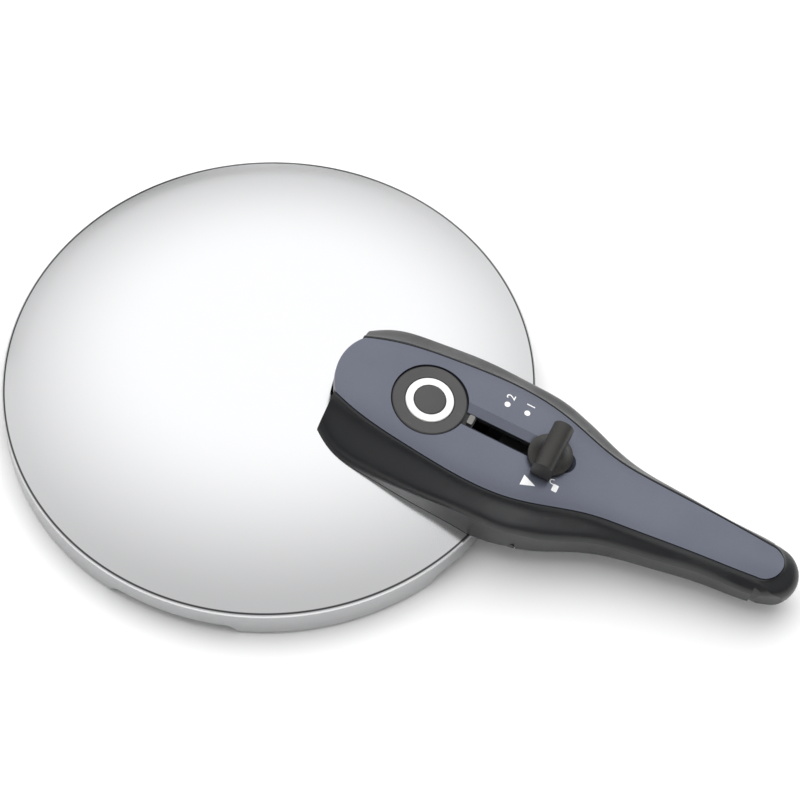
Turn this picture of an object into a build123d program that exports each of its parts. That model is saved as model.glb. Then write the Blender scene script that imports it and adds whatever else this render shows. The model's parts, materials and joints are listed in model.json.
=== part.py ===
"""Lid of a 22 cm stovetop pressure cooker, with its long handle, valves and slide lock.

Frame: origin at the lid's centre, on the plane of the bayonet tabs' lower faces.
+Z is up, +X runs along the handle away from the lid. Millimetres.
"""
from build123d import *
import math
import os

os.makedirs("parts", exist_ok=True)

# ------------------------------------------------------------------ driving dimensions
# Lid
rim_r = 122.0
lid_wall = 1.2
dome_top_z = 47.5
dome_sphere_r = 256.4
skirt_bottom_z = 6.0
lug_thickness = 1.6
lug_inner_r = 115.5
tab_count = 5
gap_centre_angle = -86.0
gap_half_width = 30.0
gap_slant = 2.5
corner_fillet = 2.5

# Handle frame: origin in the middle of the indicator, tilted down along the handle
handle_origin = (80.5, 0, 56.0)
handle_tilt = 10.2
cover_thickness = 3.0
deck_thickness = 2.7
body_wall = 3.0
reveal_gap = 0.45
lid_clearance = 0.4

# Neck and lock housing, in the lid's frame
neck_bottom_z = 17.0
bulkhead_x = 172.0
housing_start_x = 137.0

# Places in the handle frame, (along, across)
safety_place = (-19.0, 18.0)
fixing_place = (-32.0, 0.0)
lock_pin_place = (22.0, -16.0)
knob_u = 59.0
slide_v = 0.6
knob_travel = 27.0

# Seat levels of the embossed bosses in the lid, along the handle frame's normal
valve_seat_w = -18.0
safety_seat_w = -18.6
fixing_seat_w = -17.6
lock_pin_seat_w = -22.8

tilt = math.radians(handle_tilt)
along = Vector(math.cos(tilt), 0, -math.sin(tilt))
normal = Vector(math.sin(tilt), 0, math.cos(tilt))
handle = Plane(origin=handle_origin, x_dir=along, z_dir=normal)


def at(place, w=0.0):
    """Plane parallel to the handle's top, centred on a (u, v) place at level w."""
    origin = handle.from_local_coords(Vector(place[0], place[1], w))
    return Plane(origin=origin, x_dir=along, z_dir=normal)


def dome_z(r):
    """Height of the dome's outer face at radius r."""
    return dome_top_z - dome_sphere_r + math.sqrt(dome_sphere_r**2 - r**2)


def save(part, name):
    """Label a finished piece and write it."""
    part.label = name
    export_step(part, f"parts/{name}.step")


# ------------------------------------------------------------------ lid_shell
def dome_profile(r, grow, bottom_z, corner):
    """Half section of a solid dome of rim radius r, grown by grow, down to bottom_z."""
    sphere = dome_sphere_r + grow
    centre_z = dome_top_z - dome_sphere_r
    corner_z = centre_z + math.sqrt(sphere**2 - r**2)
    half = r / 2
    half_z = centre_z + math.sqrt(sphere**2 - half**2)
    top_z = dome_top_z + grow
    with BuildSketch(Plane.XZ) as profile:
        with BuildLine():
            Polyline((0, top_z), (0, bottom_z), (r, bottom_z), (r, corner_z))
            ThreePointArc((r, corner_z), (half, half_z), (0, top_z))
        make_face()
        if corner:
            fillet(profile.vertices().sort_by(Axis.X)[-2:].sort_by(Axis.Z)[-1], radius=corner)
    return profile.sketch


bosses = (
    ((0.0, 0.0), 17.0, valve_seat_w),
    (safety_place, 8.0, safety_seat_w),
    (fixing_place, 8.0, fixing_seat_w),
    (lock_pin_place, 7.0, lock_pin_seat_w),
)
boss_depth = 16.0
boss_bores = (((0.0, 0.0), 9.2), (safety_place, 4.2), (fixing_place, 2.8), (lock_pin_place, 3.2))

with BuildPart() as lid_outside:
    revolve(dome_profile(rim_r, 0, 0, corner_fillet), axis=Axis.Z)
    for place, radius, seat_w in bosses:
        with BuildSketch(at(place, seat_w - boss_depth)):
            Circle(radius)
        extrude(amount=boss_depth)

with BuildPart() as lid_inside:
    revolve(dome_profile(rim_r - lid_wall, -lid_wall, lug_thickness, corner_fillet - lid_wall), axis=Axis.Z)
    with BuildSketch(Plane.XY.offset(-1)):
        Circle(lug_inner_r)
    extrude(amount=lug_thickness + 2)
    for place, radius, seat_w in bosses:
        with BuildSketch(at(place, seat_w - boss_depth)):
            Circle(radius - lid_wall)
        extrude(amount=boss_depth - lid_wall)

with BuildPart() as lid_shell:
    add(lid_outside.part)
    add(lid_inside.part, mode=Mode.SUBTRACT)
    # gaps between the bayonet tabs, where the skirt stays shallow
    for index in range(tab_count):
        gap_angle = math.radians(gap_centre_angle + index * 360 / tab_count)
        outward = Vector(math.cos(gap_angle), math.sin(gap_angle), 0)
        sideways = Vector(-math.sin(gap_angle), math.cos(gap_angle), 0)
        with BuildSketch(Plane(origin=outward * 95, x_dir=sideways, z_dir=outward)):
            with BuildLine():
                FilletPolyline(
                    (-gap_half_width - 14, -6),
                    (-gap_half_width - 14, 0),
                    (-gap_half_width - gap_slant, 0),
                    (-gap_half_width + gap_slant, skirt_bottom_z),
                    (gap_half_width - gap_slant, skirt_bottom_z),
                    (gap_half_width + gap_slant, 0),
                    (gap_half_width + 14, 0),
                    (gap_half_width + 14, -6),
                    radius=[0.2, 4.5, 4.5, 4.5, 4.5, 0.2],
                )
                Line((-gap_half_width - 14, -6), (gap_half_width + 14, -6))
            make_face()
        extrude(amount=40, mode=Mode.SUBTRACT)
    for place, radius in boss_bores:
        with BuildSketch(at(place, -34)):
            Circle(radius)
        extrude(amount=30, mode=Mode.SUBTRACT)
save(lid_shell.part, "lid_shell")

# ------------------------------------------------------------------ sealing_ring
ring_outer_r = 120.3
ring_inner_r = 109.5
ring_bottom_z = 7.6
with BuildPart() as sealing_ring:
    with BuildSketch(Plane.XZ):
        with BuildLine():
            FilletPolyline(
                (ring_inner_r, ring_bottom_z),
                (ring_outer_r, ring_bottom_z),
                (ring_outer_r, 14.4),
                (117.5, 16.0),
                (111.0, 15.2),
                (111.0, 13.2),
                (116.6, 13.2),
                (116.6, 10.2),
                (ring_inner_r, 10.2),
                radius=[0.8, 0.8, 1.2, 0.8, 0.8, 0.8, 0.8, 0.8, 0.8],
                close=True,
            )
        make_face()
    revolve(axis=Axis.Z)
save(sealing_ring.part, "sealing_ring")

# ------------------------------------------------------------------ handle: common shapes
# Stations along the handle: u, top height, cover half-width, edge height,
# body half-width, shoulder height, bottom height
stations = (
    (-52, -3.6, 14.0, -4.8, 25.0, -22.5, -35.0),
    (-40, -2.2, 16.6, -3.9, 28.2, -22.5, -35.0),
    (-23, -0.7, 22.2, -3.2, 36.3, -21.0, -35.0),
    (0, 0.0, 25.6, -2.7, 38.0, -18.0, -35.0),
    (20, 0.0, 27.6, -2.8, 38.0, -15.0, -35.0),
    (36, 0.0, 28.0, -2.9, 37.2, -14.0, -34.6),
    (52, 0.0, 26.2, -2.8, 36.4, -14.0, -34.0),
    (64, 0.0, 23.2, -2.6, 33.6, -14.4, -32.8),
    (76, 0.0, 19.2, -2.4, 29.4, -14.6, -30.8),
    (88, 0.2, 16.3, -2.3, 24.2, -13.2, -28.8),
    (104, 0.7, 14.5, -1.7, 20.0, -11.2, -25.9),
    (124, 1.6, 13.0, 0.0, 17.4, -9.0, -22.8),
    (148, 2.9, 11.1, 1.3, 14.7, -6.5, -20.0),
    (170, 3.9, 9.6, 1.9, 12.8, -5.0, -17.6),
    (190, 4.6, 8.6, 2.2, 12.0, -4.6, -15.6),
)
side_draft = 1.0
crease_inset = 5.5


def handle_section(station, inset, top_drop, corner, deeper):
    """One cross section of the handle, made smaller by inset and top_drop."""
    u, top, edge_half, edge, half, shoulder, bottom = station
    edge_half -= inset / 2
    half -= inset
    wall_half = half - side_draft
    top -= top_drop
    edge -= top_drop
    shoulder -= inset / 2
    bottom -= deeper
    origin = handle.from_local_coords(Vector(u, 0, 0))
    slope = half - edge_half
    crease = edge_half - crease_inset
    crease_w = top - 0.3 * (top - edge)
    with BuildSketch(Plane(origin=origin, x_dir=(0, 1, 0), z_dir=along)) as section:
        with BuildLine():
            for side in (1, -1):
                Bezier(
                    (side * edge_half, edge),
                    (side * (edge_half + 0.28 * slope), edge - 0.42 * (edge - shoulder)),
                    (side * half, shoulder + 0.5 * (edge - shoulder)),
                    (side * half, shoulder),
                )
                Line((side * half, shoulder), (side * wall_half, bottom + corner))
                Bezier(
                    (side * wall_half, bottom + corner),
                    (side * wall_half, bottom),
                    (side * (wall_half - corner), bottom),
                )
            Spline((-edge_half, edge), (-crease, crease_w), (0, top), (crease, crease_w), (edge_half, edge))
            Line((corner - wall_half, bottom), (wall_half - corner, bottom))
        make_face()
    return section.sketch


def cover_outline(grow, plane):
    """Plan of the cover inlay, grown all round: wide over the valves, narrow along the grip."""
    side_points = ((-39, 15.6), (-21, 21.2), (4, 24.9), (30, 26.9), (52, 25.2), (71, 19.8))
    side_points += ((87, 15.2), (104, 13.2), (137, 10.8), (164.2, 8.65))
    right = [(u, v + grow) for u, v in side_points]
    left = [(u, -v - grow) for u, v in side_points]
    with BuildSketch(plane) as outline:
        with BuildLine():
            Spline(*right)
            Spline(*left)
            ThreePointArc(right[-1], (173.5 + grow, 0), left[-1])
            ThreePointArc(right[0], (-44.4 - grow, 0), left[0])
        make_face()
    return outline.sketch


with BuildPart() as handle_blank:
    loft([handle_section(station, 0, 0, 4.5, 0) for station in stations])

with BuildPart() as handle_hollow:
    loft(
        [
            handle_section(station, body_wall, cover_thickness + deck_thickness + 0.1, 2.0, 9)
            for station in stations
        ]
    )

blank_below_cover = handle_blank.part.moved(Location(normal * -cover_thickness))
blank_below_pocket = handle_blank.part.moved(Location(normal * (-cover_thickness - 0.1)))
blank_above_grip_plate = handle_blank.part.moved(Location(normal * body_wall))

with BuildPart() as lid_envelope:
    revolve(dome_profile(rim_r + lid_clearance, lid_clearance, -20, 0), axis=Axis.Z)

# ------------------------------------------------------------------ handle_cover
hole_r = 17.7
slot_end_u = 71.5
slot_half = 3.1
recess_half = 5.9
recess_depth = 2.2
slot_length = 66.5
slot_centre_u = slot_end_u - slot_length / 2
recess_shift = 1.0
bevel = recess_half - slot_half
cover_screws_at = ((-27.0, 11.5, -1.6), (-27.0, -11.5, -1.6), (102.5, 0.0, 0.5), (150.0, 0.0, 2.9))

with BuildPart() as handle_cover:
    extrude(cover_outline(0, handle.offset(-12)), amount=24)
    add(handle_blank.part, mode=Mode.INTERSECT)
    add(blank_below_cover, mode=Mode.SUBTRACT)
    with BuildSketch(handle.offset(-12)):
        Circle(hole_r)
    extrude(amount=24, mode=Mode.SUBTRACT)
    with BuildSketch(at((slot_centre_u, slide_v), -12)):
        SlotOverall(slot_length - 2 * bevel, 2 * slot_half)
    extrude(amount=24, mode=Mode.SUBTRACT)
    with BuildSketch(at((slot_centre_u, slide_v), -recess_depth)):
        SlotOverall(slot_length - 2 * bevel, 2 * slot_half)
    with BuildSketch(at((slot_centre_u, slide_v + recess_shift), 0.2)):
        SlotOverall(slot_length, 2 * recess_half)
    loft(mode=Mode.SUBTRACT)
    for u, v, top in cover_screws_at:
        with BuildSketch(at((u, v), top - 8)):
            Circle(1.15)
        extrude(amount=6.6, mode=Mode.SUBTRACT)
save(handle_cover.part, "handle_cover")

# ------------------------------------------------------------------ handle_body
end_u = -39.8
bulge_r = 27.3
bulge_u = -16.6
tip_start_u = 166.0
# Rounded tip of the grip: level, centre along the grip and radius of its plan, from the top down
tip_levels = (
    (6.0, 162.0, 8.0),
    (1.9, 164.8, 9.8),
    (-0.6, 167.4, 11.6),
    (-3.2, 169.3, 12.6),
    (-6.5, 170.0, 12.9),
    (-12.0, 169.8, 12.5),
    (-15.5, 168.6, 11.4),
    (-18.5, 165.5, 8.6),
)
neck_screws_at = ((127.0, 16.2), (127.0, -16.2))
housing_screws_at = ((146.0, 21.0), (146.0, -21.0))
grip_screws_at = ((112.0, -24.1, -3.4), (162.0, -17.9, -0.4))
bracket_top_z = 31.0
deck_slot_start_u = 22.2

with BuildPart() as plan_limit:
    with BuildSketch(handle.offset(-60)):
        with Locations(((end_u + tip_start_u) / 2, 0)):
            Rectangle(tip_start_u - end_u, 120)
        with Locations((bulge_u, 0)):
            Circle(bulge_r)
    extrude(amount=80)
    tip_plans = []
    for level, centre_u, radius in tip_levels:
        with BuildSketch(at((centre_u - 30, 0), level), mode=Mode.PRIVATE) as tip_plan:
            SlotCenterToCenter(60, 2 * radius)
        tip_plans.append(tip_plan.sketch)
    loft(tip_plans)

with BuildPart() as pocket:
    extrude(cover_outline(reveal_gap, handle.offset(-12)), amount=30)
    add(blank_below_pocket, mode=Mode.SUBTRACT)

with BuildPart() as hollow:
    add(handle_hollow.part)
    with BuildSketch(handle.offset(-80)):
        with Locations((64.5, 0)):
            RectangleRounded(214, 90, 4)
    extrude(amount=100, mode=Mode.INTERSECT)
    # bulkhead between the neck and the grip
    with Locations((bulkhead_x + 1.5, 0, 0)):
        Box(3, 80, 120, mode=Mode.SUBTRACT)

with BuildPart() as handle_body:
    add(handle_blank.part)
    add(plan_limit.part, mode=Mode.INTERSECT)
    add(pocket.part, mode=Mode.SUBTRACT)
    add(hollow.part, mode=Mode.SUBTRACT)
    # floor between the rim and the lock housing
    with BuildSketch(Plane.XY.offset(neck_bottom_z)):
        with Locations((127.5, 0)):
            Rectangle(19, 68)
        with Locations((135.0, 0)):
            Rectangle(9, 16, mode=Mode.SUBTRACT)
    extrude(amount=2.5)
    # posts for the rim bracket's and the lock housing's screws
    with BuildSketch(Plane.XY.offset(bracket_top_z)):
        with Locations(*neck_screws_at):
            Circle(4.2)
    extrude(amount=11)
    with BuildSketch(Plane.XY.offset(neck_bottom_z)):
        with Locations(*housing_screws_at):
            Circle(4.0)
    extrude(amount=21)
    # post over the fixing screw and posts for the grip plate's screws
    with BuildSketch(at(fixing_place, fixing_seat_w)):
        Circle(6.4)
    extrude(amount=11)
    for u, bottom_w, deck_w in grip_screws_at:
        with BuildSketch(at((u, 0), bottom_w + body_wall)):
            Circle(3.6)
        extrude(amount=deck_w - bottom_w - body_wall)
    # rails that guide the slide
    for v, rail_start, rail_end in ((10.1, 28, 91), (-10.1, 28, 46), (-10.1, 72, 91)):
        with BuildSketch(at(((rail_start + rail_end) / 2, slide_v + v), -9.0)):
            Rectangle(rail_end - rail_start, 1.6)
        extrude(amount=4.4)
    with Locations(((100 + bulkhead_x) / 2, 0, neck_bottom_z - 30)):
        Box(bulkhead_x - 100, 120, 60, mode=Mode.SUBTRACT)
    add(lid_envelope.part, mode=Mode.SUBTRACT)
    # openings and screw holes
    with BuildSketch(handle.offset(-12)):
        Circle(13.3)
    extrude(amount=24, mode=Mode.SUBTRACT)
    with BuildSketch(at((45.5, slide_v), -12)):
        SlotOverall(40.5, 6.6)
        with Locations((deck_slot_start_u + 8 - 45.5, 0)):
            Rectangle(16, 6.6)
    extrude(amount=24, mode=Mode.SUBTRACT)
    for u, v, top in cover_screws_at:
        with BuildSketch(at((u, v), top - 10)):
            Circle(1.35)
        extrude(amount=10, mode=Mode.SUBTRACT)
    with BuildSketch(at(fixing_place, fixing_seat_w - 1)):
        Circle(3.7)
    extrude(amount=10.6, mode=Mode.SUBTRACT)
    with BuildSketch(Plane.XY.offset(bracket_top_z - 1)):
        with Locations(*neck_screws_at):
            Circle(1.95)
    extrude(amount=9, mode=Mode.SUBTRACT)
    with BuildSketch(Plane.XY.offset(neck_bottom_z - 1)):
        with Locations(*neck_screws_at):
            Circle(4.4)
    extrude(amount=5, mode=Mode.SUBTRACT)
    with BuildSketch(Plane.XY.offset(neck_bottom_z - 1)):
        with Locations(*housing_screws_at):
            Circle(1.3)
    extrude(amount=12, mode=Mode.SUBTRACT)
    for u, bottom_w, deck_w in grip_screws_at:
        with BuildSketch(at((u, 0), bottom_w)):
            Circle(1.3)
        extrude(amount=14, mode=Mode.SUBTRACT)
save(handle_body.part, "handle_body")

# ------------------------------------------------------------------ lock_housing
housing_floor = 1.9
with BuildPart() as lock_housing:
    add(handle_blank.part)
    with Locations(((housing_start_x + bulkhead_x) / 2, 0, neck_bottom_z - 10.1)):
        Box(bulkhead_x - housing_start_x - 0.4, 120, 20, mode=Mode.INTERSECT)
    with BuildSketch(Plane.XY.offset(12.4 + housing_floor)):
        with BuildLine():
            Polyline((139.6, 31), (139.6, -31), (169.4, -18.5), (169.4, 18.5), close=True)
        make_face()
        with Locations(*housing_screws_at):
            Circle(4.4, mode=Mode.SUBTRACT)
    extrude(amount=10, mode=Mode.SUBTRACT)
    # opening through which the pot handle's catch reaches the bolt
    with BuildSketch(Plane.XY):
        with Locations((154.5, 0)):
            RectangleRounded(24, 10, 2)
    extrude(amount=20, mode=Mode.SUBTRACT)
    for x, y in housing_screws_at:
        with Locations((x, y, 0)):
            Cylinder(1.5, 60, mode=Mode.SUBTRACT)
        with Locations((x, y, 11.4)):
            Cylinder(3.0, 4.0, mode=Mode.SUBTRACT)
save(lock_housing.part, "lock_housing")

# ------------------------------------------------------------------ grip_underside
grip_plate_gap = 0.25
with BuildPart() as grip_hollow:
    loft(
        [
            handle_section(station, body_wall + grip_plate_gap, 6, 2.0, 9)
            for station in stations
        ]
    )
with BuildPart() as grip_underside:
    add(grip_hollow.part)
    add(handle_blank.part, mode=Mode.INTERSECT)
    add(blank_above_grip_plate, mode=Mode.SUBTRACT)
    with Locations((bulkhead_x + 3 + grip_plate_gap + 60, 0, 0)):
        Box(120, 60, 120, mode=Mode.INTERSECT)
    with BuildSketch(handle.offset(-80)):
        with Locations((171.2 - 110, 0)):
            RectangleRounded(220, 60, 4)
    extrude(amount=100, mode=Mode.INTERSECT)
    for u, bottom_w, deck_w in grip_screws_at:
        with BuildSketch(at((u, 0), bottom_w - 3)):
            Circle(1.5)
        extrude(amount=12, mode=Mode.SUBTRACT)
        with BuildSketch(at((u, 0), bottom_w - 3)):
            Circle(3.1)
        extrude(amount=4.6, mode=Mode.SUBTRACT)
save(grip_underside.part, "grip_underside")

# ------------------------------------------------------------------ screws
def add_screw(base, shank_r, length, head_r, head_h, drive):
    """Cross-drive screw whose head's under-face lies on base, with its shank along base's normal."""
    with BuildPart() as screw:
        with BuildSketch(base):
            Circle(shank_r)
        extrude(amount=length)
        with BuildSketch(base):
            Circle(head_r)
        extrude(amount=-head_h)
        fillet(screw.faces().sort_by(Axis(base.origin, base.z_dir))[0].edges(), radius=head_h * 0.3)
        with BuildSketch(base.offset(-head_h)):
            Rectangle(drive * 2, drive * 0.45)
            Rectangle(drive * 0.45, drive * 2)
        extrude(amount=head_h * 0.5, mode=Mode.SUBTRACT)
    return screw.part


cover_screw_parts = [
    add_screw(at((u, v), top - cover_thickness - deck_thickness - 0.5), 1.05, 4.0, 2.6, 1.6, 1.5)
    for u, v, top in cover_screws_at
]
save(Compound(children=cover_screw_parts), "cover_screws")

bracket_thickness = 1.5
neck_screw_parts = [
    add_screw(Plane(origin=(x, y, bracket_top_z - bracket_thickness)), 1.8, 8.5, 3.4, 2.2, 1.9)
    for x, y in neck_screws_at
]
save(Compound(children=neck_screw_parts), "bracket_screws")

housing_screw_parts = [
    add_screw(Plane(origin=(x, y, 13.4)), 1.2, 13.0, 2.6, 1.6, 1.5) for x, y in housing_screws_at
]
save(Compound(children=housing_screw_parts), "housing_screws")

grip_screw_parts = [
    add_screw(at((u, 0), bottom_w + 1.6), 1.2, 11.0, 2.7, 1.5, 1.5) for u, bottom_w, deck_w in grip_screws_at
]
save(Compound(children=grip_screw_parts), "grip_screws")

# ------------------------------------------------------------------ rim_bracket
bracket_width = 42.0
foot_start = Vector(104.5, 0, dome_z(104.5) - 0.1)
foot_end = Vector(113.0, 0, dome_z(113.0) - 0.1)
with BuildPart() as rim_bracket:
    with BuildSketch(Plane.XZ):
        with BuildLine():
            Polyline(
                (foot_start.X, foot_start.Z),
                (foot_end.X, foot_end.Z),
                (foot_end.X, bracket_top_z - bracket_thickness),
                (133.0, bracket_top_z - bracket_thickness),
                (133.0, bracket_top_z),
                (foot_end.X - bracket_thickness, bracket_top_z),
                (foot_end.X - bracket_thickness, foot_end.Z + 0.7 + bracket_thickness),
                (foot_start.X, foot_start.Z + bracket_thickness),
                close=True,
            )
        make_face()
    extrude(amount=bracket_width / 2, both=True)
    with Locations(*[(x, y, bracket_top_z) for x, y in neck_screws_at]):
        Cylinder(2.1, 10, mode=Mode.SUBTRACT)
save(rim_bracket.part, "rim_bracket")

# ------------------------------------------------------------------ fixing of the handle
fixing_under_w = fixing_seat_w - lid_wall
with BuildPart() as fixing_insert:
    with BuildSketch(at(fixing_place, fixing_seat_w + 0.4)):
        Circle(3.65)
        Circle(2.6, mode=Mode.SUBTRACT)
    extrude(amount=8.8)
save(fixing_insert.part, "fixing_insert")

with BuildPart() as fixing_gasket:
    with BuildSketch(at(fixing_place, fixing_under_w - 1.0)):
        Circle(6.4)
        Circle(2.7, mode=Mode.SUBTRACT)
    extrude(amount=1.0)
save(fixing_gasket.part, "fixing_gasket")

with BuildPart() as fixing_washer:
    with BuildSketch(at(fixing_place, fixing_under_w - 1.8)):
        Circle(6.0)
        Circle(2.7, mode=Mode.SUBTRACT)
    extrude(amount=0.8)
save(fixing_washer.part, "fixing_washer")

fixing_screw = add_screw(at(fixing_place, fixing_under_w - 1.8), 2.45, 10.6, 5.2, 3.2, 3.2)
save(fixing_screw, "fixing_screw")

# ------------------------------------------------------------------ main valve
def turned(base, outline):
    """Body turned about base's normal from an outline of (radius, level) points."""
    section = Plane(origin=base.origin, x_dir=base.x_dir, z_dir=-base.y_dir)
    with BuildPart() as body:
        with BuildSketch(section):
            with BuildLine():
                Polyline(*outline, close=True)
            make_face()
        revolve(axis=Axis(base.origin, base.z_dir))
    return body.part


valve_axis = at((0, 0))
bush_outline = (
    (7.5, -38.0),
    (8.2, -38.0),
    (8.9, -37.3),
    (8.9, -17.0),
    (13.0, -17.0),
    (13.0, -16.3),
    (12.4, -15.8),
    (2.9, -15.8),
    (2.9, -19.0),
    (7.5, -19.0),
)
save(turned(valve_axis, bush_outline), "valve_bush")

gasket_outline = ((9.1, -18.0), (12.8, -18.0), (12.8, -17.0), (9.1, -17.0))
save(turned(valve_axis, gasket_outline), "valve_gasket")

valve_nut_top = valve_seat_w - lid_wall
with BuildPart() as valve_nut:
    with BuildSketch(at((0, 0), valve_nut_top - 5.0)):
        RegularPolygon(radius=15.0, side_count=6)
        Circle(9.0, mode=Mode.SUBTRACT)
    extrude(amount=5.0)
    chamfer(valve_nut.faces().sort_by(Axis(valve_axis.origin, normal))[0].outer_wire().edges(), length=0.8)
save(valve_nut.part, "valve_nut")

piston_outline = (
    (2.55, -36.8),
    (6.6, -36.8),
    (7.15, -36.2),
    (7.15, -35.6),
    (6.0, -35.6),
    (6.0, -34.2),
    (7.15, -34.2),
    (7.15, -33.4),
    (2.55, -33.4),
)
save(turned(valve_axis, piston_outline), "valve_piston")

seal_outline = ((6.05, -35.55), (7.2, -35.55), (7.2, -34.25), (6.05, -34.25))
save(turned(valve_axis, seal_outline), "piston_seal")

stem_outline = (
    (0, -38.6),
    (2.0, -38.6),
    (2.0, -37.9),
    (1.6, -37.9),
    (1.6, -37.0),
    (2.5, -37.0),
    (2.5, -14.6),
    (2.0, -14.1),
    (2.0, -3.0),
    (0, -3.0),
)
save(turned(valve_axis, stem_outline), "indicator_stem")

clip_outline = ((1.65, -37.75), (3.6, -37.75), (3.6, -37.05), (1.65, -37.05))
save(turned(valve_axis, clip_outline), "stem_clip")

button_outline = (
    (2.05, -14.0),
    (7.2, -14.0),
    (7.2, -0.3),
    (6.8, 0.0),
    (3.4, 0.25),
    (0, 0.3),
    (0, -2.9),
    (2.05, -2.9),
)
save(turned(valve_axis, button_outline), "indicator_button")

# white sleeve with two fine grooves, one for each cooking setting
sleeve_outline = (
    (7.5, -14.4),
    (10.95, -14.4),
    (10.95, -8.0),
    (10.6, -7.8),
    (10.6, -7.4),
    (10.95, -7.2),
    (10.95, -4.2),
    (10.6, -4.0),
    (10.6, -3.6),
    (10.95, -3.4),
    (10.95, -0.5),
    (10.65, -0.15),
    (7.5, -0.15),
)
save(turned(valve_axis, sleeve_outline), "indicator_sleeve")

collar_outline = (
    (11.3, -8.0),
    (13.0, -8.0),
    (13.0, -2.8),
    (17.0, -2.8),
    (17.0, -0.9),
    (16.5, -0.45),
    (11.6, -0.45),
    (11.3, -0.75),
)
save(turned(valve_axis, collar_outline), "indicator_collar")


def coil(base, mean_r, wire_r, start, length, turns):
    """Round-wire compression spring standing on base at level start."""
    foot = base.offset(start + wire_r)
    with BuildPart() as spring:
        with BuildLine():
            helix = Helix(
                pitch=(length - 2 * wire_r) / turns,
                height=length - 2 * wire_r,
                radius=mean_r,
                center=foot.origin,
                direction=foot.z_dir,
            )
        with BuildSketch(Plane(origin=helix @ 0, z_dir=helix % 0)):
            Circle(wire_r)
        sweep()
    return spring.part


save(coil(valve_axis, 5.2, 0.45, -33.3, 14.2, 5), "indicator_spring")

# ------------------------------------------------------------------ overpressure valve
safety_axis = at(safety_place)
safety_body_outline = (
    (2.6, -24.0),
    (4.0, -24.0),
    (4.0, -17.6),
    (6.2, -17.6),
    (6.2, -12.4),
    (5.6, -11.8),
    (1.7, -11.8),
    (1.7, -13.4),
    (4.4, -13.4),
    (4.4, -17.0),
    (2.6, -17.0),
)
save(turned(safety_axis, safety_body_outline), "safety_body")

safety_gasket_outline = ((4.1, -18.6), (6.2, -18.6), (6.2, -17.6), (4.1, -17.6))
save(turned(safety_axis, safety_gasket_outline), "safety_gasket")

safety_nut_top = safety_seat_w - lid_wall
with BuildPart() as safety_nut:
    with BuildSketch(at(safety_place, safety_nut_top - 3.0)):
        RegularPolygon(radius=6.5, side_count=6)
        Circle(4.1, mode=Mode.SUBTRACT)
    extrude(amount=3.0)
save(safety_nut.part, "safety_nut")

safety_plunger_outline = (
    (0, -26.3),
    (2.2, -26.3),
    (2.2, -16.6),
    (4.0, -16.6),
    (4.0, -15.8),
    (1.4, -15.8),
    (1.4, -11.7),
    (1.0, -11.3),
    (0, -11.3),
)
save(turned(safety_axis, safety_plunger_outline), "safety_plunger")

safety_seat_outline = ((2.25, -26.3), (3.6, -26.3), (3.6, -25.7), (2.25, -25.7))
save(turned(safety_axis, safety_seat_outline), "safety_seat")

save(coil(safety_axis, 2.6, 0.25, -15.75, 2.3, 2.5), "safety_spring")

# ------------------------------------------------------------------ pressure lock pin
pin_axis = at(lock_pin_place)
guide_outline = (
    (2.3, -29.0),
    (3.0, -29.0),
    (3.0, -22.8),
    (5.6, -22.8),
    (5.6, -21.2),
    (5.0, -20.6),
    (2.3, -20.6),
)
save(turned(pin_axis, guide_outline), "lock_pin_guide")

pin_outline = (
    (0, -33.0),
    (3.4, -33.0),
    (3.4, -31.7),
    (2.0, -31.7),
    (2.0, -20.4),
    (2.9, -20.4),
    (2.9, -19.1),
    (2.4, -18.5),
    (0, -18.5),
)
save(turned(pin_axis, pin_outline), "lock_pin")

pin_seal_outline = ((2.05, -31.7), (3.3, -31.7), (3.0, -31.2), (2.05, -31.2))
save(turned(pin_axis, pin_seal_outline), "lock_pin_seal")

# ------------------------------------------------------------------ slider
knob_foot_r = 10.2
grip_half_width = 4.8
grip_half_length = 12.1
grip_top_w = 13.0
foot_bottom_w = 0.45
foot_edge_w = 2.6
carriage_top_w = -6.5
knob_place = (knob_u, slide_v)
knob_axis = at(knob_place)
slide_side = Plane(origin=knob_axis.origin, x_dir=along, z_dir=(0, -1, 0))

with BuildPart() as slider_knob:
    # round foot whose top sweeps up in a hollow curve to the grip
    with BuildSketch(slide_side):
        with BuildLine():
            Polyline((0, 9.8), (0, foot_bottom_w), (knob_foot_r - 0.6, foot_bottom_w))
            Line((knob_foot_r - 0.6, foot_bottom_w), (knob_foot_r, foot_bottom_w + 0.6))
            Line((knob_foot_r, foot_bottom_w + 0.6), (knob_foot_r, foot_edge_w))
            ThreePointArc((knob_foot_r, foot_edge_w), (6.9, 5.4), (4.6, 9.8))
            Line((4.6, 9.8), (0, 9.8))
        make_face()
    revolve(axis=Axis(knob_axis.origin, normal))
    # crosswise grip: upright flanks and a half-round top, cut flat at both ends
    with BuildSketch(slide_side):
        with BuildLine():
            Polyline(
                (-grip_half_width, grip_top_w - grip_half_width),
                (-grip_half_width, foot_bottom_w + 1.2),
                (grip_half_width, foot_bottom_w + 1.2),
                (grip_half_width, grip_top_w - grip_half_width),
            )
            ThreePointArc(
                (-grip_half_width, grip_top_w - grip_half_width),
                (0, grip_top_w),
                (grip_half_width, grip_top_w - grip_half_width),
            )
        make_face()
    extrude(amount=grip_half_length, both=True)
    with BuildSketch(at(knob_place, carriage_top_w)):
        RectangleRounded(11.4, 5.4, 1.5)
    extrude(amount=foot_bottom_w + 1 - carriage_top_w)
    with BuildSketch(at(knob_place, carriage_top_w)):
        Circle(1.3)
    extrude(amount=11.0, mode=Mode.SUBTRACT)
save(slider_knob.part, "slider_knob")

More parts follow.
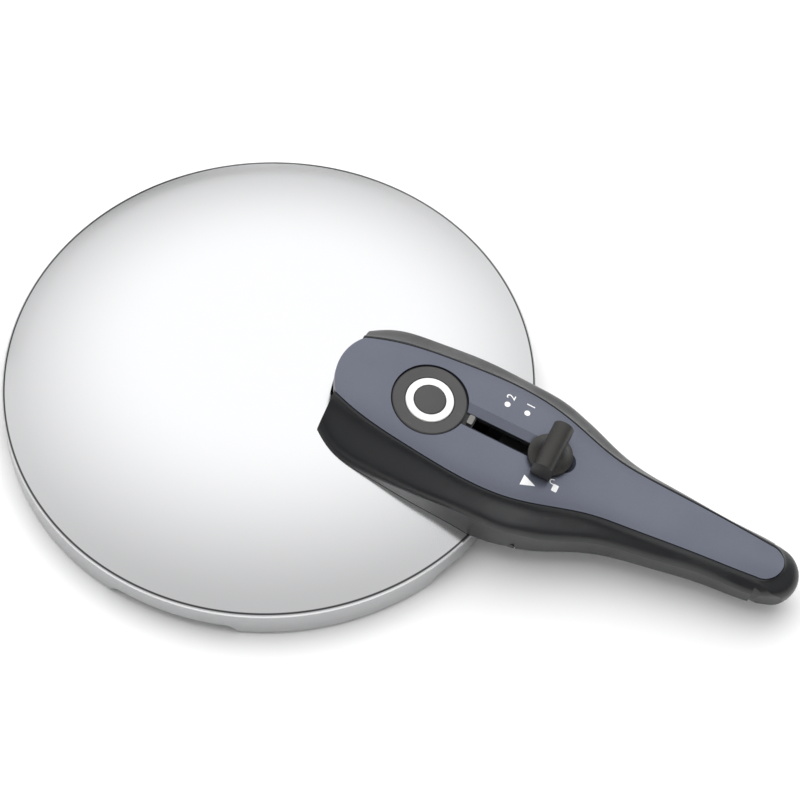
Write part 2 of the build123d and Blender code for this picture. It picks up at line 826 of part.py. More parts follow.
carriage_start_u = 50.0
carriage_end_u = 90.0
carriage_mid_u = (carriage_start_u + carriage_end_u) / 2
carriage_half = 8.8
carriage_thickness = 2.4
notch_us = (knob_u, knob_u + 17.6, knob_u + knob_travel)
with BuildPart() as slider_carriage:
    with BuildSketch(at((carriage_mid_u, slide_v), carriage_top_w - carriage_thickness)):
        RectangleRounded(carriage_end_u - carriage_start_u, 2 * carriage_half, 1.5)
        for notch_u in notch_us:
            with Locations((notch_u - carriage_mid_u, -carriage_half)):
                RegularPolygon(radius=1.5, side_count=4, mode=Mode.SUBTRACT)
    extrude(amount=carriage_thickness)
    with BuildSketch(at(knob_place, carriage_top_w - 5)):
        Circle(1.5)
    extrude(amount=6, mode=Mode.SUBTRACT)
save(slider_carriage.part, "slider_carriage")

bolt_top_w = carriage_top_w - carriage_thickness
bolt_thickness = 2.0
bolt_half = 6.0
nose_reach = 30.5
nose_bottom_w = -25.5
with BuildPart() as lock_bolt:
    with BuildSketch(slide_side):
        with BuildLine():
            Polyline(
                (-5, bolt_top_w),
                (-5, bolt_top_w - bolt_thickness),
                (nose_reach - bolt_thickness, bolt_top_w - bolt_thickness),
                (nose_reach - bolt_thickness, nose_bottom_w),
                (nose_reach, nose_bottom_w),
                (nose_reach, bolt_top_w),
                close=True,
            )
        make_face()
    extrude(amount=bolt_half, both=True)
    with BuildSketch(at(knob_place, bolt_top_w - 5)):
        Circle(1.5)
    extrude(amount=6, mode=Mode.SUBTRACT)
save(lock_bolt.part, "lock_bolt")

knob_screw = add_screw(at(knob_place, bolt_top_w - bolt_thickness), 1.2, 13.0, 2.8, 1.5, 1.5)
save(knob_screw, "knob_screw")

with BuildPart() as slot_stop:
    with BuildSketch(at((20.3, slide_v), -3.0)):
        RectangleRounded(2.6, 4.6, 0.6)
    extrude(amount=1.9)
save(slot_stop.part, "slot_stop")

# ------------------------------------------------------------------ detent_spring
leaf_v = -10.6
leaf_thickness = 0.5
leaf_bump = 1.4
with BuildPart() as detent_spring:
    with BuildSketch(at(knob_place, -8.8)):
        with BuildLine():
            FilletPolyline(
                (-12.8, leaf_v),
                (-3.0, leaf_v),
                (0, leaf_v + leaf_bump - leaf_thickness),
                (3.0, leaf_v),
                (12.8, leaf_v),
                (12.8, leaf_v + leaf_thickness),
                (2.6, leaf_v + leaf_thickness),
                (0, leaf_v + leaf_bump),
                (-2.6, leaf_v + leaf_thickness),
                (-12.8, leaf_v + leaf_thickness),
                radius=0.15,
                close=True,
            )
        make_face()
    extrude(amount=2.2)
save(detent_spring.part, "detent_spring")
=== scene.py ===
# Lid of a 22 cm pressure cooker: polished dome, long black handle with a blue-grey cover, rising
# pressure indicator, valves and slide lock. Metres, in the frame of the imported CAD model.
import json
import math
import bpy
from mathutils import Matrix, Vector

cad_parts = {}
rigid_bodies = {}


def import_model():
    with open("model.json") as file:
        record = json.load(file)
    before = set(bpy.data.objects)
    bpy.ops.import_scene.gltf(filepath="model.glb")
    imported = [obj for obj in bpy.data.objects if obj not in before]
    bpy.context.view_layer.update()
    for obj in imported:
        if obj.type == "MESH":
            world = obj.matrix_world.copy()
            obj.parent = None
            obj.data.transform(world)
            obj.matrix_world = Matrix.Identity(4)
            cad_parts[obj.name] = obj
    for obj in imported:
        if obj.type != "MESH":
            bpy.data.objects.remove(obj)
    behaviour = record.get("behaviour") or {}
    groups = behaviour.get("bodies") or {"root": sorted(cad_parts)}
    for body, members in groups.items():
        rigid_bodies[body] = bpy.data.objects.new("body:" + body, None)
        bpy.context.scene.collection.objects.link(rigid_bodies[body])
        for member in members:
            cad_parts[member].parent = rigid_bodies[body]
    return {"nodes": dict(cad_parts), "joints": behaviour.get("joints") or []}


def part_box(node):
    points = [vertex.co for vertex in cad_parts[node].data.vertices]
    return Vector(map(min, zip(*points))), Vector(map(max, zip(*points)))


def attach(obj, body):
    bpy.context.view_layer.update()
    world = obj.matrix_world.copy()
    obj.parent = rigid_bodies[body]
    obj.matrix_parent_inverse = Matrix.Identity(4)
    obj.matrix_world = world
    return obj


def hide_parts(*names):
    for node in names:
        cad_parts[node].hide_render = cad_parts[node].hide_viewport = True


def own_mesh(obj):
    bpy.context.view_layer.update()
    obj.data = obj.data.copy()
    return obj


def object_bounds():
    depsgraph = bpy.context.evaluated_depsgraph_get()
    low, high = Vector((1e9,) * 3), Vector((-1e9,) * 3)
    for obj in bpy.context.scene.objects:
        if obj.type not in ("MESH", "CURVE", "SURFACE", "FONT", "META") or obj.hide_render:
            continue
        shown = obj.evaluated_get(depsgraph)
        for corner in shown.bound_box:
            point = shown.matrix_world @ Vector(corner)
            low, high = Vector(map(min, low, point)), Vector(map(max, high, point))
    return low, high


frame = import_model()
cad_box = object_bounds()
nodes = frame["nodes"]
bpy.ops.object.select_all(action="DESELECT")


# ---------------------------------------------------------------- lid
# One skin of 18/10 stainless steel, deep-drawn. The dome is spin-polished to a mirror, the rolled
# skirt is left satin and the inside is brushed in rings. Five tabs under the skirt make the bayonet.
dome_top = 0.0475
dome_radius = 0.2564
dome_edge_radius = 0.122
lid_wall = 0.0012
skirt_fade_low = 0.0018
skirt_fade_high = 0.0012
corner_width = 0.0016
corner_fade = 0.0003
polish_roughness = 0.15
polish_spread = 0.03
corner_roughness = 0.12
satin_roughness = 0.3
satin_spread = 0.1
# The line_ constants place a thin dark ring of painted shade where the dome's rounded edge turns down into
# the skirt.
line_radius = 0.1211
line_half_width = 0.0002
line_fade_end = 0.0006
line_strength = 0.95
relief_on_polish = 0.02
polished_colour = (0.9, 0.905, 0.915, 1)
# The skirt's two colours are satin steel darkened with painted shade, for the shadowed floor that the skirt
# reflects near the lid.
skirt_shaded_colour = (0.43, 0.435, 0.44, 1)
skirt_shaded_light_colour = (0.55, 0.555, 0.56, 1)
painted_shade_line_colour = (0.05, 0.05, 0.052, 1)
ring_pitch_scale = 5200


def start_material(name, metallic=0.0, **constants):
    """A node material with constants on its shader's own sockets, and its place on the piece."""
    material = bpy.data.materials.new(name)
    material.use_nodes = True
    shader = material.node_tree.nodes["Principled BSDF"]
    shader.inputs["Metallic"].default_value = metallic
    for socket, value in constants.items():
        shader.inputs[socket.replace("_", " ")].default_value = value
    place = material.node_tree.nodes.new("ShaderNodeTexCoord").outputs["Object"]
    return material, shader, place


def calculate(tree, operation, first, second=None, clamp=False):
    """A Math node on two values, each a socket or a number."""
    node = tree.nodes.new("ShaderNodeMath")
    node.operation = operation
    node.use_clamp = clamp
    for socket, value in zip(node.inputs, (first, second)):
        if isinstance(value, bpy.types.NodeSocket):
            tree.links.new(value, socket)
        elif value is not None:
            socket.default_value = value
    return node.outputs[0]


def fit(tree, value, start, end, low, high, smooth=False):
    """A value that runs from low to high while another runs from start to end."""
    node = tree.nodes.new("ShaderNodeMapRange")
    if smooth:
        node.interpolation_type = "SMOOTHSTEP"
    tree.links.new(value, node.inputs["Value"])
    for socket, number in zip(("From Min", "From Max", "To Min", "To Max"), (start, end, low, high)):
        node.inputs[socket].default_value = number
    return node.outputs["Result"]


def mix_colours(tree, share, first, second):
    """The first colour where share is 0 and the second where it is 1."""
    node = tree.nodes.new("ShaderNodeMix")
    node.data_type = "RGBA"
    tree.links.new(share, node.inputs["Factor"])
    for socket, value in ((node.inputs[6], first), (node.inputs[7], second)):
        if isinstance(value, bpy.types.NodeSocket):
            tree.links.new(value, socket)
        else:
            socket.default_value = value
    return node.outputs[2]


def speckle(tree, place, scale, detail=3.0, stretch=(1, 1, 1)):
    """Cloudy noise from 0 to 1, finer as scale grows and drawn out where stretch is small."""
    mapping = tree.nodes.new("ShaderNodeMapping")
    mapping.inputs["Scale"].default_value = stretch
    tree.links.new(place, mapping.inputs["Vector"])
    noise = tree.nodes.new("ShaderNodeTexNoise")
    noise.inputs["Scale"].default_value = scale
    noise.inputs["Detail"].default_value = detail
    tree.links.new(mapping.outputs["Vector"], noise.inputs["Vector"])
    return noise.outputs[0]


def emboss(tree, shader, height, depth, strength=1.0):
    """Relief of a given depth in metres."""
    bump = tree.nodes.new("ShaderNodeBump")
    bump.inputs["Strength"].default_value = strength
    bump.inputs["Distance"].default_value = depth
    tree.links.new(height, bump.inputs["Height"])
    tree.links.new(bump.outputs["Normal"], shader.inputs["Normal"])


def finish_node(names, material):
    """Give CAD nodes their material."""
    for name in names:
        nodes[name].data.materials.clear()
        nodes[name].data.materials.append(material)


def around_lid(tree, place, reach):
    """A place that changes slowly round the lid's axis and fast across it, for spun marks."""
    flat = tree.nodes.new("ShaderNodeVectorMath")
    flat.operation = "MULTIPLY"
    flat.inputs[1].default_value = (1, 1, 0)
    tree.links.new(place, flat.inputs[0])
    unit = tree.nodes.new("ShaderNodeVectorMath")
    unit.operation = "NORMALIZE"
    tree.links.new(flat.outputs["Vector"], unit.inputs[0])
    small = tree.nodes.new("ShaderNodeVectorMath")
    small.operation = "SCALE"
    small.inputs["Scale"].default_value = reach
    tree.links.new(unit.outputs["Vector"], small.inputs[0])
    length = tree.nodes.new("ShaderNodeVectorMath")
    length.operation = "LENGTH"
    tree.links.new(flat.outputs["Vector"], length.inputs[0])
    split = tree.nodes.new("ShaderNodeSeparateXYZ")
    tree.links.new(place, split.inputs[0])
    height = tree.nodes.new("ShaderNodeCombineXYZ")
    tree.links.new(calculate(tree, "ADD", length.outputs["Value"], split.outputs["Z"]), height.inputs["Z"])
    total = tree.nodes.new("ShaderNodeVectorMath")
    total.operation = "ADD"
    tree.links.new(small.outputs["Vector"], total.inputs[0])
    tree.links.new(height.outputs[0], total.inputs[1])
    return total.outputs["Vector"]


polished_steel, shader, place = start_material("polished_steel", metallic=1.0)
tree = polished_steel.node_tree
spun = around_lid(tree, place, reach=0.004)
rings = speckle(tree, spun, ring_pitch_scale, detail=2.0)
smudges = speckle(tree, place, 28, detail=4.0)
from_centre = tree.nodes.new("ShaderNodeVectorMath")
from_centre.operation = "DISTANCE"
from_centre.inputs[1].default_value = (0, 0, dome_top - dome_radius)
tree.links.new(place, from_centre.inputs[0])
wall_inner_part = dome_radius - lid_wall * 0.7
wall_outer_part = dome_radius - lid_wall * 0.3
on_dome = fit(tree, from_centre.outputs["Value"], wall_inner_part, wall_outer_part, 0, 1)
levels = tree.nodes.new("ShaderNodeSeparateXYZ")
tree.links.new(place, levels.inputs[0])
skirt_top = dome_top - dome_radius + math.sqrt(dome_radius**2 - dome_edge_radius**2)
above_skirt = fit(tree, levels.outputs["Z"], skirt_top - skirt_fade_low, skirt_top - skirt_fade_high, 0, 1)
across = tree.nodes.new("ShaderNodeVectorMath")
across.operation = "MULTIPLY"
across.inputs[1].default_value = (1, 1, 0)
tree.links.new(place, across.inputs[0])
from_axis = tree.nodes.new("ShaderNodeVectorMath")
from_axis.operation = "LENGTH"
tree.links.new(across.outputs["Vector"], from_axis.inputs[0])
corner_start = dome_edge_radius - corner_width
on_corner = fit(tree, from_axis.outputs["Value"], corner_start, corner_start + corner_fade, 0, 1)
outside = calculate(tree, "MAXIMUM", on_dome, on_corner)
polished = calculate(tree, "MULTIPLY", outside, above_skirt)
satin = calculate(tree, "MULTIPLY_ADD", rings, satin_spread)
satin.node.inputs[2].default_value = satin_roughness - satin_spread / 2
shine = calculate(tree, "MULTIPLY_ADD", smudges, polish_spread)
shine.node.inputs[2].default_value = polish_roughness - polish_spread / 2
crisp = tree.nodes.new("ShaderNodeMix")
tree.links.new(on_corner, crisp.inputs["Factor"])
tree.links.new(shine, crisp.inputs[2])
crisp.inputs[3].default_value = corner_roughness
mix_rough = tree.nodes.new("ShaderNodeMix")
tree.links.new(polished, mix_rough.inputs["Factor"])
tree.links.new(satin, mix_rough.inputs[2])
tree.links.new(crisp.outputs[0], mix_rough.inputs[3])
tree.links.new(mix_rough.outputs[0], shader.inputs["Roughness"])
# Brushed rings over the skirt's darkened colours: real ring marks, with painted shade in the colours.
brushed_shaded_skirt = mix_colours(tree, rings, skirt_shaded_colour, skirt_shaded_light_colour)
bare = mix_colours(tree, polished, brushed_shaded_skirt, polished_colour)
# Painted shade: a thin dark ring in the base colour on the dome's rounded edge, just above the satin skirt.
line_side = calculate(tree, "ABSOLUTE", calculate(tree, "SUBTRACT", from_axis.outputs["Value"], line_radius))
shade_line_share = fit(tree, line_side, line_half_width, line_fade_end, line_strength, 0, smooth=True)
shade_line_outside = calculate(tree, "MULTIPLY", shade_line_share, outside)
painted_shade_line = calculate(tree, "MULTIPLY", shade_line_outside, above_skirt)
tree.links.new(mix_colours(tree, painted_shade_line, bare, painted_shade_line_colour), shader.inputs["Base Color"])
relief = calculate(tree, "MULTIPLY", rings, calculate(tree, "SUBTRACT", 1 + relief_on_polish, polished))
emboss(tree, shader, relief, depth=0.00002, strength=0.35)
finish_node(["lid_shell"], polished_steel)


# ---------------------------------------------------------------- handle body, housing, grip plate
# Compression-moulded phenolic, satin black with the fine orange-peel of a textured mould. The body
# holds the cover and the slide; a plate closes the grip and a housing closes the neck from below.
def moulded(name, colour, worn_colour, roughness, grain_depth, grain_scale=1900, **constants):
    """Moulded plastic: fine mould grain, faint flow clouds, hand-polished patches, hair scratches."""
    cloud_scale = 22
    patch_scale = 55
    hair_scale = 900
    hair_stretch = (0.04, 1, 1)
    material, shader, place = start_material(name, **constants)
    tree = material.node_tree
    grain = speckle(tree, place, grain_scale, detail=2.0)
    clouds = speckle(tree, place, cloud_scale, detail=3.0)
    handled = speckle(tree, place, patch_scale, detail=5.0)
    patches = fit(tree, handled, 0.35, 0.7, roughness - 0.05, roughness + 0.06)
    hairs = speckle(tree, place, hair_scale, detail=1.0, stretch=hair_stretch)
    scratches = fit(tree, hairs, 0.71, 0.75, 0, 0.5)
    cloudy = mix_colours(tree, fit(tree, clouds, 0.35, 0.7, 0, 0.35), colour, worn_colour)
    tree.links.new(mix_colours(tree, scratches, cloudy, worn_colour), shader.inputs["Base Color"])
    tree.links.new(patches, shader.inputs["Roughness"])
    emboss(tree, shader, calculate(tree, "SUBTRACT", grain, scratches), grain_depth, strength=0.5)
    return material


handle_black = moulded("handle_black", (0.0115, 0.012, 0.0135, 1), (0.022, 0.023, 0.026, 1), 0.36, 0.00005)
finish_node(["handle_body", "lock_housing", "grip_underside"], handle_black)


# ---------------------------------------------------------------- handle cover
# Injection-moulded inlay plate in satin blue-grey with a fine metallic fleck, held by four screws
# from below. Its top is faintly crowned, and a soft crease runs round it just inside its edge.
paint_dark = (0.135, 0.147, 0.19, 1)
paint_light = (0.16, 0.172, 0.21, 1)
fleck_colour = (0.3, 0.32, 0.38, 1)
cover_blue_grey, shader, place = start_material(
    "cover_blue_grey", metallic=0.7, Coat_Weight=0.25, Coat_Roughness=0.22
)
tree = cover_blue_grey.node_tree
flecks = speckle(tree, place, 5200, detail=1.0)
drift = speckle(tree, place, 18, detail=3.0)
paint = mix_colours(tree, fit(tree, drift, 0.3, 0.7, 0, 0.5), paint_dark, paint_light)
bright = mix_colours(tree, fit(tree, flecks, 0.6, 0.8, 0, 0.4), paint, fleck_colour)
tree.links.new(bright, shader.inputs["Base Color"])
satin_patches = fit(tree, speckle(tree, place, 60, detail=5.0), 0.3, 0.7, 0.33, 0.43)
tree.links.new(satin_patches, shader.inputs["Roughness"])
emboss(tree, shader, flecks, depth=0.00001, strength=0.3)
finish_node(["handle_cover"], cover_blue_grey)


# ---------------------------------------------------------------- pressure indicator
# A charcoal collar pressed into the cover, a white acetal sleeve whose top is the ring one reads,
# and a charcoal button on the rod. Sleeve, button and rod rise together as the steam lifts the piston.
collar_charcoal = moulded(
    "collar_charcoal", (0.06, 0.058, 0.058, 1), (0.085, 0.083, 0.082, 1), 0.52, 0.00005, grain_scale=1500
)
finish_node(["indicator_collar", "indicator_button"], collar_charcoal)
indicator_white = moulded(
    "indicator_white", (0.86, 0.86, 0.855, 1), (0.93, 0.93, 0.925, 1), 0.38, 0.00001, grain_scale=900
)
finish_node(["indicator_sleeve"], indicator_white)


# ---------------------------------------------------------------- marks printed on the cover
# Pad-printed in white ink: dots and digits of the two cooking settings, an arrow that points outwards
# along the handle, and an open padlock beyond it. The ink is drawn about a tenth of a millimetre thick.
ink_thickness = 0.00012
above_cover = 0.006
middle_to_collar_top = 0.0045
handle_out = -Vector(next(j["axis"] for j in frame["joints"] if j["name"] == "lock_slide")).normalized()
handle_up = Vector(next(j["axis"] for j in frame["joints"] if j["name"] == "pressure_rise")).normalized()
handle_across = Vector((0, 1, 0))
sleeve_low, sleeve_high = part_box("indicator_sleeve")
sleeve_middle = (sleeve_low + sleeve_high) / 2
collar_low, collar_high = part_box("indicator_collar")
collar_top = (collar_low + collar_high) / 2 + handle_up * middle_to_collar_top
indicator_place = collar_top + (sleeve_middle - collar_top).project(handle_out)
ink_white = moulded("printed_white", (0.88, 0.88, 0.88, 1), (0.8, 0.8, 0.81, 1), 0.45, 0.000005)


def over_cover(along, across, turn):
    """Where a mark is laid out above the cover, in the handle's own directions, and its turn."""
    spot = indicator_place + handle_out * along + handle_across * across + handle_up * above_cover
    axes = Matrix((handle_out, handle_across, handle_up)).transposed()
    return spot, (axes @ Matrix.Rotation(turn, 3, "Z")).to_euler()


def keep_as(name):
    """The active object becomes a mesh of that name."""
    bpy.ops.object.convert(target="MESH")
    mark = bpy.context.active_object
    mark.name = name
    mark.data.name = name
    return mark


def print_on_cover(mark):
    """Press a flat mark onto the cover along the handle's upward direction, as thick as the ink."""
    bpy.ops.object.select_all(action="DESELECT")
    mark.select_set(True)
    bpy.context.view_layer.objects.active = mark
    wrap = mark.modifiers.new("onto_cover", "SHRINKWRAP")
    wrap.target = nodes["handle_cover"]
    wrap.wrap_method = "PROJECT"
    wrap.use_project_z = True
    wrap.use_positive_direction = False
    wrap.use_negative_direction = True
    ink = mark.modifiers.new("ink", "SOLIDIFY")
    ink.thickness = ink_thickness
    ink.offset = 1
    bpy.ops.object.modifier_apply(modifier="onto_cover")
    bpy.ops.object.modifier_apply(modifier="ink")
    bpy.ops.object.transform_apply(location=True, rotation=True, scale=True)
    mark.data.materials.clear()
    mark.data.materials.append(ink_white)
    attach(mark, "lid")
    mark.select_set(False)


setting_places = {"2": (0.0317, 0.0150), "1": (0.0414, 0.0154)}
dot_radius = 0.00135
digit_size = 0.0058
digit_offset = 0.0030
digit_middle_share = 0.34
for digit, (along, across) in setting_places.items():
    spot, turned = over_cover(along, across, 0)
    bpy.ops.mesh.primitive_circle_add(
        vertices=40, radius=dot_radius, fill_type="NGON", location=spot, rotation=turned
    )
    print_on_cover(keep_as(f"setting_dot_{digit}"))
    spot, turned = over_cover(along + digit_size * digit_middle_share, across + digit_offset, math.pi / 2)
    bpy.ops.object.text_add(location=spot, rotation=turned)
    bpy.context.active_object.data.body = digit
    bpy.context.active_object.data.size = digit_size
    print_on_cover(keep_as(f"setting_digit_{digit}"))

arrow_length = 0.0066
arrow_half_width = 0.0026
arrow_middle = (0.0549, -0.0158)
spot, turned = over_cover(*arrow_middle, 0)
bpy.ops.mesh.primitive_circle_add(
    vertices=3, radius=arrow_length * 2 / 3, fill_type="NGON", location=spot, rotation=turned
)
arrow = bpy.context.active_object
for corner, (x, y) in zip(arrow.data.vertices, ((2 / 3, 0), (-1 / 3, 1), (-1 / 3, -1))):
    corner.co = (x * arrow_length, y * arrow_half_width, 0)
print_on_cover(keep_as("opening_arrow"))


def print_shape(name, place, shapes):
    """Join flat shapes laid out beside each other into one mark and print it."""
    bpy.ops.object.select_all(action="DESELECT")
    for shape in shapes:
        shape.select_set(True)
    bpy.context.view_layer.objects.active = shapes[0]
    bpy.ops.object.join()
    spot, turned = over_cover(*place, math.pi / 2)
    mark = bpy.context.active_object
    bpy.ops.object.transform_apply(location=True, rotation=True, scale=True)
    mark.location = spot
    mark.rotation_euler = turned
    print_on_cover(keep_as(name))


def flat_bar(width, height, middle, rounding=0.0):
    """A flat bar in the XY plane, with its corners rounded."""
    bpy.ops.object.select_all(action="DESELECT")
    bpy.ops.mesh.primitive_plane_add(size=1, location=(*middle, 0), scale=(width, height, 1))
    bar = bpy.context.active_object
    bpy.ops.object.transform_apply(location=True, rotation=True, scale=True)
    for corner in bar.data.vertices:
        corner.co.x = middle[0] + math.copysign(width / 2, corner.co.x - middle[0])
        corner.co.y = middle[1] + math.copysign(height / 2, corner.co.y - middle[1])
    if rounding:
        bpy.ops.object.mode_set(mode="EDIT")
        bpy.ops.mesh.select_all(action="SELECT")
        bpy.ops.mesh.bevel(offset=rounding, segments=4, affect="VERTICES")
        bpy.ops.object.mode_set(mode="OBJECT")
    return bar


padlock_place = (0.0675, -0.0124)
lock_width = 0.0034
lock_height = 0.0026
shackle_radius = 0.0013
shackle_bar = 0.00045
shackle_inset = 0.0002
shackle_rise = 0.0010
near_leg_length = 0.0011
far_leg_length = 0.0006
case_rounding = 0.0004
shackle_x = lock_width / 2 - shackle_bar - shackle_inset + shackle_radius
shackle_y = lock_height / 2 + shackle_rise
bpy.ops.object.select_all(action="DESELECT")
bpy.ops.mesh.primitive_circle_add(
    vertices=40, radius=shackle_radius, fill_type="NGON", location=(shackle_x, shackle_y, 0)
)
shackle = bpy.context.active_object
bpy.ops.object.mode_set(mode="EDIT")
bpy.ops.mesh.select_all(action="SELECT")
bpy.ops.mesh.inset(thickness=shackle_bar)
bpy.ops.mesh.delete(type="FACE")
bpy.ops.mesh.select_all(action="SELECT")
bpy.ops.mesh.bisect(plane_co=(shackle_x, shackle_y, 0), plane_no=(0, 1, 0), clear_inner=True)
bpy.ops.object.mode_set(mode="OBJECT")
leg_offset = shackle_radius - shackle_bar / 2
near_leg_middle = (shackle_x - leg_offset, shackle_y - near_leg_length / 2)
far_leg_middle = (shackle_x + leg_offset, shackle_y - far_leg_length / 2)
near_leg = flat_bar(shackle_bar, near_leg_length, near_leg_middle)
far_leg = flat_bar(shackle_bar, far_leg_length, far_leg_middle)
lock_case = flat_bar(lock_width, lock_height, (0, 0), rounding=case_rounding)
print_shape("open_padlock", padlock_place, [lock_case, shackle, near_leg, far_leg])


# ---------------------------------------------------------------- slide lock
# The knob is moulded in a slightly warmer black plastic, round at the foot with a crosswise grip bar. It
# drives a nylon carriage under the deck, which carries a steel bolt; a screw from below joins them.
knob_black = moulded(
    "knob_black", (0.022, 0.021, 0.019, 1), (0.045, 0.043, 0.04, 1), 0.45, 0.00006, grain_scale=1400
)
finish_node(["slider_knob"], knob_black)
slide_nylon = moulded("slide_nylon", (0.035, 0.035, 0.038, 1), (0.07, 0.07, 0.072, 1), 0.55, 0.00003)
finish_node(["slider_carriage"], slide_nylon)


def metal(name, colour, tarnish, roughness, stretch, scale=2600, depth=0.00001):
    """Bare metal with drawn or turned marks along the small axis of stretch, and a dull bloom."""
    material, shader, place = start_material(name, metallic=1.0)
    tree = material.node_tree
    lines = speckle(tree, place, scale, detail=2.0, stretch=stretch)
    bloom = fit(tree, speckle(tree, place, 120, detail=4.0), 0.4, 0.7, 0, 0.7)
    tree.links.new(mix_colours(tree, bloom, colour, tarnish), shader.inputs["Base Color"])
    tree.links.new(fit(tree, lines, 0.3, 0.7, roughness - 0.06, roughness + 0.08), shader.inputs["Roughness"])
    emboss(tree, shader, lines, depth, strength=0.4)
    return material


satin_steel = metal("satin_steel", (0.56, 0.56, 0.555, 1), (0.44, 0.435, 0.425, 1), 0.3, (1, 0.1, 1))
finish_node(["lock_bolt", "knob_screw", "detent_spring"], satin_steel)
worn_steel = metal("worn_steel", (0.3, 0.295, 0.28, 1), (0.22, 0.215, 0.2, 1), 0.4, (1, 0.1, 1))
finish_node(["slot_stop"], worn_steel)


# ---------------------------------------------------------------- fasteners and rim bracket
# Stainless screws with sockets, turned and tumbled, the brass insert that the fixing screw bites
# into, and the pressed bracket that is welded to the lid's rim and holds the neck. The overpressure
# valve's body is turned from the same brass.
tumbled_steel = metal("tumbled_steel", (0.6, 0.6, 0.6, 1), (0.47, 0.465, 0.46, 1), 0.34, (1, 1, 0.12))
finish_node(
    [
        "cover_screws",
        "bracket_screws",
        "housing_screws",
        "grip_screws",
        "fixing_screw",
        "fixing_washer",
        "rim_bracket",
    ],
    tumbled_steel,
)
brass = metal("brass", (0.72, 0.52, 0.23, 1), (0.5, 0.36, 0.17, 1), 0.28, (1, 1, 0.15))
finish_node(["fixing_insert", "safety_body"], brass)


# ---------------------------------------------------------------- valves
# Turned stainless bush, nuts, piston, rod, clip, plunger and lock pin, all along the handle's upward
# direction. The steam lifts the piston, the plunger and the lock pin from inside the lid.
turned_steel = metal("turned_steel", (0.63, 0.63, 0.63, 1), (0.5, 0.5, 0.49, 1), 0.22, (0.12, 0.12, 1))
finish_node(
    [
        "valve_bush",
        "valve_nut",
        "valve_piston",
        "indicator_stem",
        "stem_clip",
        "indicator_spring",
        "safety_nut",
        "safety_plunger",
        "safety_spring",
        "lock_pin_guide",
        "lock_pin",
    ],
    turned_steel,
)


# ---------------------------------------------------------------- springs
# Stainless wire, coiled with open ends, between a fixed seat above and the piston or the plunger below.
# Each is a copy of the CAD coil, fixed to the lid as it stands. The indicator spring could really get as
# short as its joint's whole travel; the safety spring can't: it is solid after 0.55 mm of its joint's 1.5 mm.
merge_distance = 0.000001


def fit_spring(node_name):
    """A copy of the CAD spring in turned steel, fixed to the lid; the CAD one is hidden."""
    bpy.ops.object.select_all(action="DESELECT")
    nodes[node_name].select_set(True)
    bpy.context.view_layer.objects.active = nodes[node_name]
    bpy.ops.object.duplicate()
    spring = bpy.context.active_object
    spring.name = node_name + "_wire"
    for key in list(spring.keys()):
        del spring[key]
    bpy.ops.object.parent_clear(type="CLEAR_KEEP_TRANSFORM")
    bpy.ops.object.mode_set(mode="EDIT")
    bpy.ops.mesh.select_all(action="SELECT")
    bpy.ops.mesh.remove_doubles(threshold=merge_distance)
    bpy.ops.object.mode_set(mode="OBJECT")
    spring.data.materials.clear()
    spring.data.materials.append(turned_steel)
    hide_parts(node_name)
    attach(spring, "lid")
    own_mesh(spring)


fit_spring("indicator_spring")
fit_spring("safety_spring")


# ---------------------------------------------------------------- seals
# Moulded food-grade silicone, matt grey with a dusting of talc: the big ring in the rim, which
# presses on the pot, and the small gaskets under the valves and the fixing screw.
seal_silicone = moulded(
    "seal_silicone", (0.24, 0.245, 0.25, 1), (0.36, 0.365, 0.37, 1), 0.58, 0.00002, Subsurface_Weight=0.08
)
finish_node(
    [
        "sealing_ring",
        "fixing_gasket",
        "valve_gasket",
        "piston_seal",
        "safety_gasket",
        "safety_seat",
        "lock_pin_seal",
    ],
    seal_silicone,
)


# ---------------------------------------------------------------- studio
# White sweep on the floor, a wide soft light above, and a white tent that is brightest on the far
# side and greyer towards the camera's side, with a dark gap just above the floor.
floor_size = 12.0
floor_drop = 0.0002
tent_bright_way = Vector((-0.2379, 0.5219, 0.8192)).normalized()
tent_bright_angle = math.radians(24)
tent_dim_angle = math.radians(68)
tent_bright = 1.1
tent_dim = 0.52
camera_side = (0.4147, -0.91, 0)
gap_top_far = 0.02
gap_top_near = 0.33
gap_fade = 0.03
gap_strength = 0.08
softbox_way = Vector((0.308, -0.676, 0.669)).normalized()
softbox_angle = math.radians(6)
softbox_fade_angle = math.radians(13)
softbox_strength = 2.6
bpy.ops.mesh.primitive_plane_add(size=floor_size, location=(0, 0, cad_box[0].z - floor_drop))
floor = bpy.context.active_object
floor.name = "floor"
floor_white, shader, place = start_material("floor_white", Roughness=0.9)
shader.inputs["Base Color"].default_value = (0.95, 0.95, 0.95, 1)
floor.data.materials.append(floor_white)

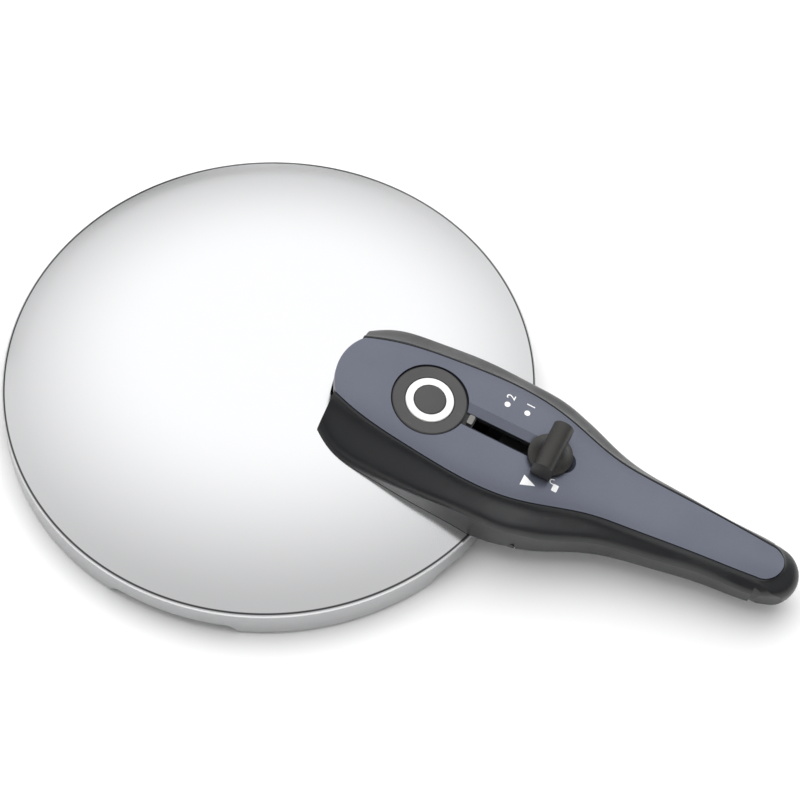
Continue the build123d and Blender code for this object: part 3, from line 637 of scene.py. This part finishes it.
world = bpy.data.worlds.new("tent")
bpy.context.scene.world = world
world.use_nodes = True
tree = world.node_tree
sky = tree.nodes["Background"]
sky.inputs["Color"].default_value = (1, 1, 1, 1)
direction = tree.nodes.new("ShaderNodeTexCoord").outputs["Generated"]
brightest = tree.nodes.new("ShaderNodeVectorMath")
brightest.operation = "DOT_PRODUCT"
brightest.inputs[1].default_value = tent_bright_way
tree.links.new(direction, brightest.inputs[0])
away = calculate(tree, "ARCCOSINE", brightest.outputs["Value"])
tent = fit(tree, away, tent_bright_angle, tent_dim_angle, tent_bright, tent_dim, smooth=True)
towards_camera = tree.nodes.new("ShaderNodeVectorMath")
towards_camera.operation = "DOT_PRODUCT"
towards_camera.inputs[1].default_value = camera_side
tree.links.new(direction, towards_camera.inputs[0])
gap_top = fit(tree, towards_camera.outputs["Value"], -1.0, -0.6, gap_top_far, gap_top_near)
heights = tree.nodes.new("ShaderNodeSeparateXYZ")
tree.links.new(direction, heights.inputs[0])
rise = calculate(tree, "SUBTRACT", heights.outputs["Z"], gap_top)
gap = fit(tree, rise, 0.0, gap_fade, gap_strength, 1, smooth=True)
softbox = tree.nodes.new("ShaderNodeVectorMath")
softbox.operation = "DOT_PRODUCT"
softbox.inputs[1].default_value = softbox_way
tree.links.new(direction, softbox.inputs[0])
from_softbox = calculate(tree, "ARCCOSINE", softbox.outputs["Value"])
glow = fit(tree, from_softbox, softbox_angle, softbox_fade_angle, softbox_strength, 0, smooth=True)
lit_tent = calculate(tree, "ADD", calculate(tree, "MULTIPLY", tent, gap), glow)
tree.links.new(lit_tent, sky.inputs["Strength"])

overhead_place = Vector((-0.2, 0.5, 1.6))
overhead_size = 2.6
overhead_watts = 30
bpy.ops.object.light_add(type="AREA", location=overhead_place)
overhead = bpy.context.active_object
overhead.data.shape = "SQUARE"
overhead.data.size = overhead_size
overhead.data.energy = overhead_watts
overhead.visible_glossy = False
overhead.rotation_euler = overhead_place.to_track_quat("Z", "Y").to_euler()

camera_place = Vector((0.49285, -0.93713, 1.72804))
camera_target = Vector((0.0593, 0.0142, 0.020))
camera_lens = 198
sensor_width = 36
bpy.ops.object.camera_add(location=camera_place)
camera = bpy.context.active_object
camera.data.lens = camera_lens
camera.data.sensor_width = sensor_width
camera.rotation_euler = (camera_target - camera_place).to_track_quat("-Z", "Y").to_euler()
bpy.context.scene.camera = camera
bpy.context.scene.view_settings.view_transform = "Standard"
